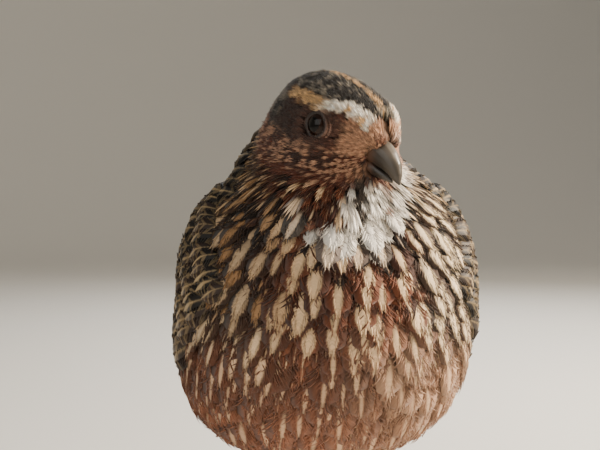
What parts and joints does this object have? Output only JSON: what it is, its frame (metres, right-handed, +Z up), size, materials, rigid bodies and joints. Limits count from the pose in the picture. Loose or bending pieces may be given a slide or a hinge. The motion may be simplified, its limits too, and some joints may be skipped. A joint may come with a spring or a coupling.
{
  "type": "coturnix quail, life-size still model",
  "caption": "Life-size still model of a coturnix quail cock, standing fluffed with its neck drawn in and its head turned left.",
  "frame": {"origin": "on the floor, under the middle of the whole bird's box", "axes": "+Z up, -Y the way the body faces, +X the bird's own left side"},
  "size_m": [0.0842, 0.1332, 0.1278],
  "materials": {
    "breast_feathers": "soft matte feathers, rufous with pale shafts",
    "head_feathers": "soft matte feathers, dark brown with pale stripes",
    "wing_feathers": "matte feathers, dark brown with buff bars",
    "tail_feathers": "matte feathers, dark brown with buff bars",
    "bill_horn": "satin horn, grey-brown",
    "eye": "wet gloss, dark brown",
    "leg_skin": "scaled skin, pinkish brown",
    "claw_horn": "satin horn, brown"
  },
  "bodies": {
    "root": {"torso": "breast_feathers", "neck": "head_feathers", "head": "head_feathers", "bill_upper": "bill_horn", "bill_lower": "bill_horn", "eye_right": "eye", "eye_left": "eye", "wing_right": "wing_feathers", "wing_left": "wing_feathers", "thigh_right": "breast_feathers", "thigh_left": "breast_feathers", "leg_right": "leg_skin", "leg_left": "leg_skin", "claw_right_inner": "claw_horn", "claw_right_middle": "claw_horn", "claw_right_outer": "claw_horn", "claw_right_hind": "claw_horn", "claw_left_inner": "claw_horn", "claw_left_middle": "claw_horn", "claw_left_outer": "claw_horn", "claw_left_hind": "claw_horn", "tail": "tail_feathers"}
  },
  "joints": []
}
